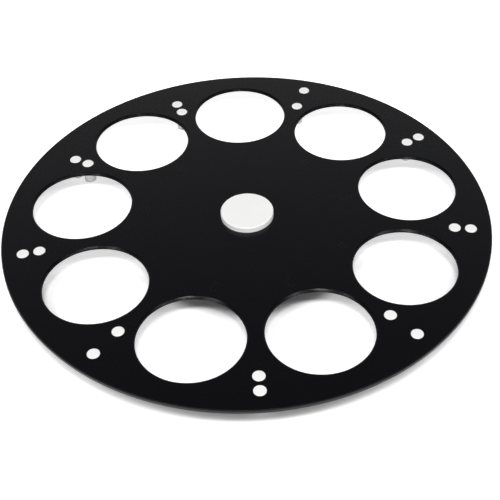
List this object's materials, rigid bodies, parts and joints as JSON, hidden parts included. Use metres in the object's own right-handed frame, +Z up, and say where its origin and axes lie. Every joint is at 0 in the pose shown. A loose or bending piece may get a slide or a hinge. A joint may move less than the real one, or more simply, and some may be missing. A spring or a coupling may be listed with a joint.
{
  "type": "filter wheel carousel",
  "caption": "Thin black disc with threaded filter seats around a closed white hub on a ball bearing, and white code pins on concentric tracks.",
  "frame": {"origin": "on the hub axis, level with the tips of the code pins that the carousel stands on", "axes": "+Z up along the hub axis, out of the hub's closed face; +Y through filter seat 7 and away from the viewer in the picture's view, +X to its right"},
  "size_m": [0.23, 0.23, 0.0129],
  "materials": {
    "black_anodised": "satin black anodised aluminium",
    "white_acetal": "turned white acetal",
    "white_nylon": "turned white plastic with a small mark at the centre of the head",
    "spring_steel": "phosphated spring steel",
    "bearing_steel": "ground bearing steel",
    "shield_steel": "pressed steel sheet",
    "cage_nylon": "moulded natural nylon"
  },
  "bodies": {
    "spindle_ring": {"bearing_inner_ring": "bearing_steel"},
    "carousel": {"plate": "black_anodised", "hub": "white_acetal", "pin_1_inner": "white_nylon", "pin_1_outer": "white_nylon", "pin_2_middle": "white_nylon", "pin_2_outer": "white_nylon", "pin_3_inner": "white_nylon", "pin_3_outer": "white_nylon", "pin_4_middle": "white_nylon", "pin_4_outer": "white_nylon", "pin_5_middle": "white_nylon", "pin_5_outer": "white_nylon", "pin_6_inner": "white_nylon", "pin_6_outer": "white_nylon", "pin_7_inner": "white_nylon", "pin_7_middle": "white_nylon", "pin_8_inner": "white_nylon", "pin_8_middle": "white_nylon", "pin_9_middle": "white_nylon", "pin_9_outer": "white_nylon", "retaining_ring": "spring_steel", "bearing_outer_ring": "bearing_steel", "bearing_shield_top": "shield_steel", "bearing_shield_bottom": "shield_steel"},
    "ball_cage": {"bearing_cage": "cage_nylon", "bearing_ball_1": "bearing_steel", "bearing_ball_2": "bearing_steel", "bearing_ball_3": "bearing_steel", "bearing_ball_4": "bearing_steel", "bearing_ball_5": "bearing_steel", "bearing_ball_6": "bearing_steel", "bearing_ball_7": "bearing_steel"}
  },
  "joints": [
    {"name": "wheel_spin", "type": "hinge", "parent": "spindle_ring", "child": "carousel", "pos_m": [0, 0, 0.0066], "axis": [0, 0, 1], "continuous": true},
    {"name": "cage_spin", "type": "hinge", "parent": "spindle_ring", "child": "ball_cage", "pos_m": [0, 0, 0.0066], "axis": [0, 0, 1], "continuous": true}
  ],
  "couplings": [
    {"joint": "cage_spin", "follows": "wheel_spin", "ratio": 0.6323}
  ]
}
